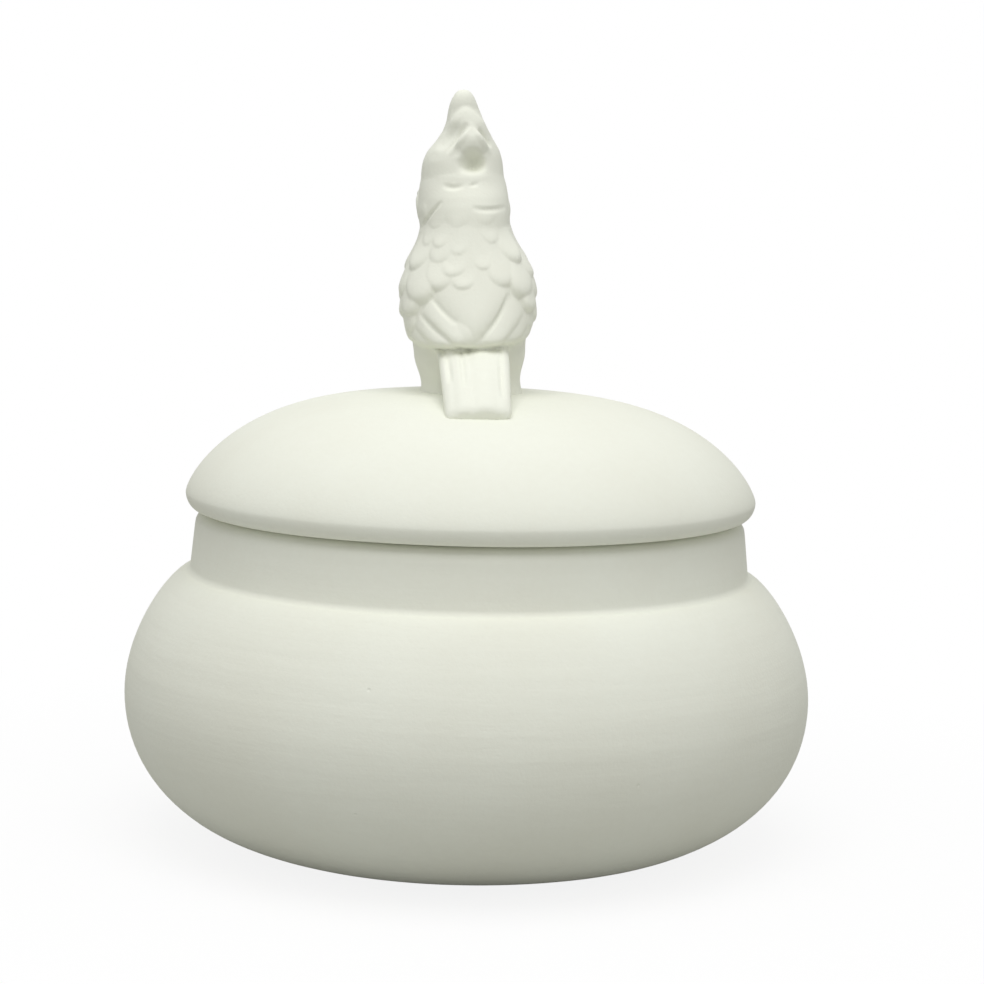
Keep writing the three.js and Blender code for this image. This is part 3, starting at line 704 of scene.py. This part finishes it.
# The hollow under the crest: where it is across and up, its half width, how far it reaches up and down,
# how deep it goes and how far it falls, and how widely and often its lower lip is rubbed.
HOLLOW_ACROSS = 1.45
HOLLOW_HEIGHT = 35.8
HOLLOW_HALF = 2.5
HOLLOW_UP = 3.1
HOLLOW_DOWN = 1.1
HOLLOW_DEPTH = 2.9
HOLLOW_FALL = 0.6
LIP_REACH = 1.8
LIP_STROKES = 20
FAR_BEHIND = -60
DRAWN_STEPS = 24
TOOL_START = 0.12
BIRD_SCRAPING = 0.005 * MM
BIRD_SIDE = -0.35 * MM
BIRD_LEAN = -3.2
BIRD_TURN = 1.6


def fused(bm, grain):
    """The castings joined into one skin, in cells of the given size."""
    mesh = bpy.data.meshes.new("luted")
    bm.to_mesh(mesh)
    bm.free()
    holder = bpy.data.objects.new("luted", mesh)
    bpy.context.scene.collection.objects.link(holder)
    remesh = holder.modifiers.new("luted", "REMESH")
    remesh.mode = "VOXEL"
    remesh.voxel_size = grain
    seen = holder.evaluated_get(bpy.context.evaluated_depsgraph_get())
    joined = bmesh.new()
    joined.from_mesh(seen.to_mesh())
    seen.to_mesh_clear()
    bpy.data.objects.remove(holder)
    bpy.data.meshes.remove(mesh)
    return joined


def rubbed(bm, verts, strokes):
    """Rubs the wet clay smooth with a damp sponge."""
    for stroke in range(strokes):
        bmesh.ops.smooth_vert(
            bm,
            verts=verts,
            factor=SPONGE_PRESS,
            use_axis_x=True,
            use_axis_y=True,
            use_axis_z=True,
        )


def unrolled(point):
    """A place on the bird's sides as a distance round it from the middle of the back, and a height."""
    wide, half = mantle_size(point.z)
    turn = math.atan2(point.x / wide, (WING_FRONT - half - point.y) / half)
    return Vector((BACK_ROUND * turn, point.z, 0))


def feathered(bm, rows):
    """Raises overlapping feathers. Each has a root and a tip, as turns in degrees from the middle of the
    back and heights, a width, how far its tip stands proud, how late it rises, how flat it is, how far it
    tilts up to one side, and the length and shape of its end: 1 for a point, 2 for a round."""
    bm.verts.ensure_lookup_table()
    bm.normal_update()
    zone = [vert for vert in bm.verts if FEATHERED[0] < vert.co.z < FEATHERED[1]]
    tree = KDTree(2 * len(zone))
    for number, vert in enumerate(zone):
        place = unrolled(vert.co)
        tree.insert(place, number)
        tree.insert(place - Vector((2 * math.pi * BACK_ROUND, 0, 0)), number)
    tree.balance()
    raised = {}
    for root, tip, width, lift, late, flatness, tilt, end_length, shape in rows:
        start, end = [
            Vector((BACK_ROUND * math.radians(turn), height, 0))
            for turn, height in (root, tip)
        ]
        along = end - start
        length = along.length
        along.normalize()
        straight = 1 - end_length / length
        for place, number, _ in tree.find_range((start + end) / 2, math.hypot(length, width) / 2):
            share = (place - start).dot(along) / length
            across = 2 * (place - start).cross(along).z / width
            out = max(share - straight, 0) / (1 - straight)
            reach = (abs(across) ** shape + out ** shape) ** (1 / shape)
            if share > 0 and reach < 1:
                lean = (1 + tilt * across) / (1 + abs(tilt))
                height = lift * lean * min(share, 1) ** late * (1 - reach ** flatness)
                raised[number] = max(raised.get(number, 0), height)
    for number, height in raised.items():
        out = zone[number].normal
        zone[number].co += Vector((out.x, out.y, max(out.z, 0))) * height


def scooped(bm):
    """Scoops the hollow under the crest into the back and a little down, and rubs its lower lip round."""
    lip = []
    for vert in bm.verts:
        rise = vert.co.z - HOLLOW_HEIGHT
        up = rise / (HOLLOW_UP if rise > 0 else HOLLOW_DOWN)
        reach = math.hypot((vert.co.x - HOLLOW_ACROSS) / HOLLOW_HALF, up)
        if vert.co.y < 0 and reach < LIP_REACH and rise < HOLLOW_DOWN:
            lip.append(vert)
        if vert.co.y < 0 and reach < 1:
            vert.co += Vector((0, HOLLOW_DEPTH, -HOLLOW_FALL)) * (1 - reach * reach) ** 2
    rubbed(bm, lip, LIP_STROKES)


def drawn(bm, marks, side=0):
    """Lines drawn with a modelling tool. Each is three places, the tool's radius, and how far it sinks,
    or below 0 for a ridge that is left standing. The places are distances across and heights, as seen
    from behind, or from a side that is turned round the bird."""
    bm.normal_update()
    surface = BVHTree.FromBMesh(bm)
    bm.verts.ensure_lookup_table()
    tree = KDTree(len(bm.verts))
    for vert in bm.verts:
        tree.insert(vert.co, vert.index)
    tree.balance()
    look = Matrix.Rotation(side, 4, "Z")
    sunk = {}
    for places, radius, depth in marks:
        start, middle, end = [Vector((across, FAR_BEHIND, height)) for across, height in places]
        pull = middle * 2 - (start + end) / 2
        for step, place in enumerate(arc(start, pull, end, DRAWN_STEPS + 1)):
            hit = surface.ray_cast(look @ place, look @ Vector((0, 1, 0)))[0]
            if hit is None:
                continue
            pressed = math.sin(math.pi * (TOOL_START + (1 - 2 * TOOL_START) * step / DRAWN_STEPS))
            for _, index, distance in tree.find_range(hit, radius):
                push = depth * pressed * (1 - ease(distance, 0, radius))
                sunk[index] = max(sunk.get(index, 0), push, key=abs)
    for index, push in sunk.items():
        bm.verts[index].co -= bm.verts[index].normal * push


# Feathers of each kind: root, tip, width and how far the tip stands proud.
SCALES = [
    ((-56, 25), (-64, 19.8), 6.4, 0.9),
    ((-29, 25.4), (-31, 20.6), 5, 0.45),
    ((-24, 22), (-30, 16.5), 6, 1.1),
    ((-52, 21), (-42, 14.6), 7.4, 1.5),
    ((-82, 20.6), (-78, 15.8), 6, 0.8),
    ((-66, 17.6), (-56, 12.7), 6.8, 1.4),
    ((-90, 16.8), (-84, 12.4), 5.6, 0.8),
    ((-74, 14.6), (-61, 10.1), 5.8, 0.8),
    ((-88, 12.6), (-76, 8.6), 5.6, 0.7),
    ((-104, 24.5), (-102, 19.6), 5.6, 0.7),
    ((-122, 23), (-118, 18.4), 5.2, 0.6),
    ((-104, 19.4), (-100, 14.6), 5.6, 0.7),
    ((50, 25.6), (57, 20.3), 6.4, 1.1),
    ((74, 23), (76, 17.8), 5.4, 0.8),
    ((34, 23), (27, 16.6), 5.8, 1),
    ((60, 21), (46, 15), 6.9, 1.5),
    ((70, 18), (57, 12.8), 5.8, 1.4),
    ((80, 19.6), (78, 14.6), 5.6, 0.8),
    ((88, 16), (80, 10.8), 5.6, 0.8),
    ((74, 13.6), (67, 9.6), 5, 0.7),
    ((104, 24.5), (102, 19.6), 5.6, 0.7),
    ((122, 23), (118, 18.4), 5.2, 0.6),
    ((104, 19.4), (100, 14.6), 5.6, 0.7),
]
PRIMARIES_LEFT = [
    ((-38, 14.6), (-3, 8.4), 4.2, 1.5),
    ((-52, 12.4), (-18, 7.4), 4.2, 1.4),
    ((-68, 10.6), (-40, 7), 3.8, 1.3),
]
PRIMARIES_RIGHT = [
    ((47, 14.2), (15, 7.8), 4.6, 1.25),
    ((62, 12.4), (34, 7.4), 4.2, 1),
    ((76, 11.2), (54, 7.4), 3.8, 1),
]
NAPE_SCALES = [
    ((-44, 30), (-42, 26.2), 7, 0.35),
    ((-12, 30.4), (-10, 26.3), 8, 0.35),
    ((26, 30.4), (28, 26.6), 8, 0.3),
]
# These lie over the rest, in a second layer.
CRESCENTS = [
    ((-13, 22.4), (-13, 18.7), 4.6, 0.6),
    ((-5, 20.4), (-5, 16.7), 4, 0.6),
    ((13, 23), (14, 19.6), 3, 0.4),
    ((-10, 25.6), (-9, 22), 4, 0.3),
    ((-50, 27.4), (-52, 23.6), 5, 0.4),
    ((-32, 27), (-33, 23.2), 4.4, 0.4),
    ((29, 27.4), (30, 23.6), 5, 0.35),
]
# Rows of breast feathers: height of the tips, and the turns that they lie at.
BREAST_ROWS = [
    (22.3, (-150, -180, -210)),
    (18.8, (-134, -165, -195, -226)),
    (15.3, (-149, -180, -211)),
    (11.8, (-134, -165, -195, -226)),
]
BREAST_LENGTH = 5.2
BREAST_WIDTH = 6
BREAST_LIFT = 0.7
# Two long feathers of the mantle, which meet in one point over the wings, written out in full.
MANTLE = [
    ((3, 24), (4, 8.6), 12.4, 1.5, 1.5, 4, -0.2, 7.2, 1.25),
    ((-15, 12.6), (1, 8.2), 5, 1.1, 0.7, 2, 0, 3, 2),
]
# How the feathers of a kind rise: how late, how flat they are, and how far they tilt up to one side.
SCALE_RISE = (1.4, 5, 0)
LEFT_RISE = (0.5, 3, 0.65)
RIGHT_RISE = (0.5, 3, -0.65)
SMALL_RISE = (2.5, 5, 0)
NAPE_RISE = (3, 5, 0)
ROUND_END = 0.55
ROUND_SHAPE = 2


def round_ended(rows, rise):
    """Feathers of one kind, which all have round ends, written out in full."""
    return [(*row, *rise, ROUND_END * row[2], ROUND_SHAPE) for row in rows]


breast = []
for tip, turns in BREAST_ROWS:
    breast += [((turn, tip + BREAST_LENGTH), (turn, tip), BREAST_WIDTH, BREAST_LIFT) for turn in turns]
first_layer = round_ended(SCALES, SCALE_RISE)
first_layer += round_ended(PRIMARIES_LEFT, LEFT_RISE)
first_layer += round_ended(PRIMARIES_RIGHT, RIGHT_RISE)
first_layer += round_ended(breast, SMALL_RISE)
first_layer += round_ended(NAPE_SCALES, NAPE_RISE)
first_layer += MANTLE
CREST_RIDGES = [
    (((1.4, 41.9), (-0.2, 40), (-1.9, 38.1)), 0.8, -0.35),
    (((1.4, 41.9), (2.8, 40), (4, 37.9)), 0.9, -0.4),
]
CREST_LINES = [
    (((-0.8, 41.9), (-1.8, 40.7), (-3, 39.3)), 1.7, 0.6),
    (((0.5, 42), (-0.9, 40.3), (-2.3, 38.3)), 0.75, 0.5),
    (((2.7, 41.2), (3.4, 40.2), (4.2, 39)), 0.7, 0.45),
]
NAPE_LINES = [
    (((-3, 32.8), (-1.8, 32.5), (-0.4, 32.7)), 0.7, 0.34),
    (((0.9, 32.7), (1.4, 32.8), (2, 33)), 0.5, 0.24),
    (((1.3, 29.2), (3.5, 28.9), (6.2, 29.1)), 0.7, 0.32),
    (((-3.9, 30.2), (-5.4, 28.6), (-6.9, 26.4)), 0.5, 0.45),
]
WING_LINES = [
    (((-5.8, 15.5), (-4.3, 13.6), (-2.5, 11.8)), 0.55, 0.35),
    (((-7.7, 13), (-6, 11), (-3.6, 9)), 0.5, 0.25),
    (((6, 15.6), (4.4, 12.5), (2, 9.3)), 0.5, 0.3),
]
TAIL_LINES = [
    (((-1.6, 7.8), (-1.5, 5), (-1.4, 2.8)), 0.7, 0.45),
    (((4.4, 7.2), (4.3, 3.8), (4.2, 1)), 0.7, 0.45),
    (((-3.8, 6.6), (-3.7, 5), (-3.6, 3.2)), 0.7, 0.4),
]
CREST_FRONT_LINES = [
    (((-2.6, 35.6), (-1.5, 40), (-0.4, 44)), 0.7, 0.4),
    (((1, 35.8), (0.9, 40), (0.7, 43.6)), 0.7, 0.4),
    (((4.6, 35.6), (3.2, 40), (1.6, 44)), 0.7, 0.4),
]
# The wing's front edge, the mouth, the beak's root and the ruff, as seen from the bird's right. Its left
# has the same.
SIDE_LINES = [
    (((7.9, 23.5), (5.4, 16.8), (0.8, 9)), 0.9, 0.5),
    (((8.4, 31.2), (9.6, 30.4), (10.3, 28.2)), 0.5, 0.4),
    (((7.9, 34.8), (7.2, 32.2), (7.7, 29.2)), 0.6, 0.4),
    (((4.2, 33.2), (1.2, 30.4), (2.8, 27.2)), 0.7, 0.35),
]
# One eyelid: three places, forward and up from the middle of the eye, then the tool's radius and depth.
EYELID_LINE = [(-2.1, 0.2), (0, 1.8), (2.1, 0.2)]
EYELID_TOOL = (0.5, 0.4)
bird = fused(bird, FUSED_GRAIN)
rubbed(bird, bird.verts, SPONGE_STROKES)
brow = [vert for vert in bird.verts if BROW_HEIGHTS[0] < vert.co.z < BROW_HEIGHTS[1]]
brow = [vert for vert in brow if BROW_DEPTHS[0] < vert.co.y < BROW_DEPTHS[1]]
rubbed(bird, brow, BROW_STROKES)
feathered(bird, first_layer)
feathered(bird, round_ended(CRESCENTS, SMALL_RISE))
scooped(bird)
drawn(bird, CREST_RIDGES)
drawn(bird, CREST_LINES + NAPE_LINES + WING_LINES + TAIL_LINES)
drawn(bird, CREST_FRONT_LINES, math.pi)
for hand in HANDS:
    eye = head_place @ sided(hand, EYE_PLACE)
    lids = [[(eye.y + out, eye.z + rise * fold) for out, rise in EYELID_LINE] for fold in (-1, 1)]
    marks = SIDE_LINES + [(places, *EYELID_TOOL) for places in lids]
    marks = [([(hand * out, height) for out, height in places], *tool) for places, *tool in marks]
    drawn(bird, marks, hand * math.pi / 2)
rubbed(bird, bird.verts, LAST_STROKES)
stand = Matrix.Translation((BIRD_SIDE, 0, DOME_TOP)) @ Matrix.Scale(MM, 4)
stand @= Matrix.Rotation(math.radians(BIRD_TURN), 4, "Z")
stand @= Matrix.Rotation(math.radians(BIRD_LEAN), 4, "Y")
bmesh.ops.transform(bird, matrix=stand, verts=bird.verts)
knob = cast(bird, "bird_cast", bisque("bisque_bird", BIRD_SCRAPING))
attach(knob, "lid")
bird_nodes = [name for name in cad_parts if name.startswith("bird_")]
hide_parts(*bird_nodes)

# Studio
# A sweep of white paper in even light from all round, a square softbox overhead and a little in front,
# and a long lens a little above the box.
FLOOR_SIZE = 3
FLOOR_TONE = "#BDBDB9"
PAPER_WHITE = "#FFFFFF"
PAPER_ROUGHNESS = 0.9
SKY_LIGHT = 0.51
LAMP_SIZE = 0.4
LAMP_PLACE = Vector((0, -0.2, 0.515))
LAMP_AIM = Vector((0, 0, 0.06))
LAMP_POWER = 1.57
# The paper's own shading is let through most near the box, and fades out this far from its middle.
SHADOW_START = 0.03
SHADOW_REACH = 0.16
SHADOW_SHARE = 0.13
VIEW_BACK = 407.15 * MM
VIEW_HEIGHT = 104.82 * MM
VIEW_DOWN = math.radians(6.836)
VIEW_TURN = math.radians(0.474)
VIEW_ROLL = math.radians(1.3)
LENS = 93.35
SENSOR = 36
NEAREST = 0.01


def seen_rays(tree):
    """1 for rays that show the background itself: the camera's, and what gloss or glass sends on."""
    path = add(tree, "ShaderNodeLightPath")
    mirrored = add(
        tree,
        "ShaderNodeMath",
        {},
        {0: path.outputs["Is Glossy Ray"], 1: path.outputs["Is Transmission Ray"]},
        operation="MAXIMUM",
    )
    return add(
        tree,
        "ShaderNodeMath",
        {},
        {0: path.outputs["Is Camera Ray"], 1: mirrored.outputs["Value"]},
        operation="MAXIMUM",
    ).outputs["Value"]


paper = bpy.data.materials.new("paper_sweep")
paper.use_nodes = True
tree = paper.node_tree
matt = tree.nodes["Principled BSDF"]
matt.inputs["Roughness"].default_value = PAPER_ROUGHNESS
matt.inputs["Specular IOR Level"].default_value = 0
white = add(tree, "ShaderNodeEmission", {"Strength": 1})
place = add(tree, "ShaderNodeTexCoord").outputs["Object"]
away = add(tree, "ShaderNodeVectorMath", {}, {0: place}, operation="LENGTH")
seen = seen_rays(tree)
tone = blended(tree, seen, FLOOR_TONE, PAPER_WHITE)
tree.links.new(tone, matt.inputs["Base Color"])
fading = {"From Min": SHADOW_START, "From Max": SHADOW_REACH, "To Min": 1 - SHADOW_SHARE}
fade = ranged(tree, away.outputs["Value"], fading, interpolation_type="SMOOTHSTEP")
shown = add(tree, "ShaderNodeMath", {}, {0: fade, 1: seen}, operation="MULTIPLY")
mixed = add(
    tree,
    "ShaderNodeMixShader",
    {},
    {0: shown.outputs["Value"], 1: matt.outputs["BSDF"], 2: white.outputs["Emission"]},
)
tree.links.new(mixed.outputs["Shader"], tree.nodes["Material Output"].inputs["Surface"])
sheet = bmesh.new()
bmesh.ops.create_grid(sheet, x_segments=1, y_segments=1, size=FLOOR_SIZE / 2)
floor = cast(sheet, "floor", paper)

world = bpy.data.worlds.new("studio")
world.use_nodes = True
tree = world.node_tree
sky = tree.nodes["Background"]
sky.inputs["Color"].default_value = (1, 1, 1, 1)
sky.inputs["Strength"].default_value = SKY_LIGHT
backdrop = add(tree, "ShaderNodeBackground", {"Color": (1, 1, 1, 1), "Strength": 1})
mixed = add(
    tree,
    "ShaderNodeMixShader",
    {},
    {0: seen_rays(tree), 1: sky.outputs["Background"], 2: backdrop.outputs["Background"]},
)
tree.links.new(mixed.outputs["Shader"], tree.nodes["World Output"].inputs["Surface"])
bpy.context.scene.world = world

lamp = bpy.data.lights.new("softbox", "AREA")
lamp.shape = "SQUARE"
lamp.size = LAMP_SIZE
lamp.energy = LAMP_POWER
softbox = bpy.data.objects.new("softbox", lamp)
softbox.location = LAMP_PLACE
softbox.rotation_euler = (LAMP_AIM - LAMP_PLACE).to_track_quat("-Z", "Y").to_euler()
bpy.context.scene.collection.objects.link(softbox)

level_right = Vector((math.cos(VIEW_TURN), -math.sin(VIEW_TURN), 0))
level_ahead = Vector((math.sin(VIEW_TURN), math.cos(VIEW_TURN), 0))
up = Vector((0, 0, 1))
ahead = level_ahead * math.cos(VIEW_DOWN) - up * math.sin(VIEW_DOWN)
top = level_ahead * math.sin(VIEW_DOWN) + up * math.cos(VIEW_DOWN)
right = level_right * math.cos(VIEW_ROLL) + top * math.sin(VIEW_ROLL)
top = top * math.cos(VIEW_ROLL) - level_right * math.sin(VIEW_ROLL)
lens = bpy.data.cameras.new("camera")
lens.lens = LENS
lens.sensor_width = SENSOR
lens.clip_start = NEAREST
camera = bpy.data.objects.new("camera", lens)
turn = Matrix((right, top, -ahead)).transposed().to_4x4()
camera.matrix_world = Matrix.Translation((0, -VIEW_BACK, VIEW_HEIGHT)) @ turn
bpy.context.scene.collection.objects.link(camera)
bpy.context.scene.camera = camera
bpy.context.scene.view_settings.view_transform = "Standard"
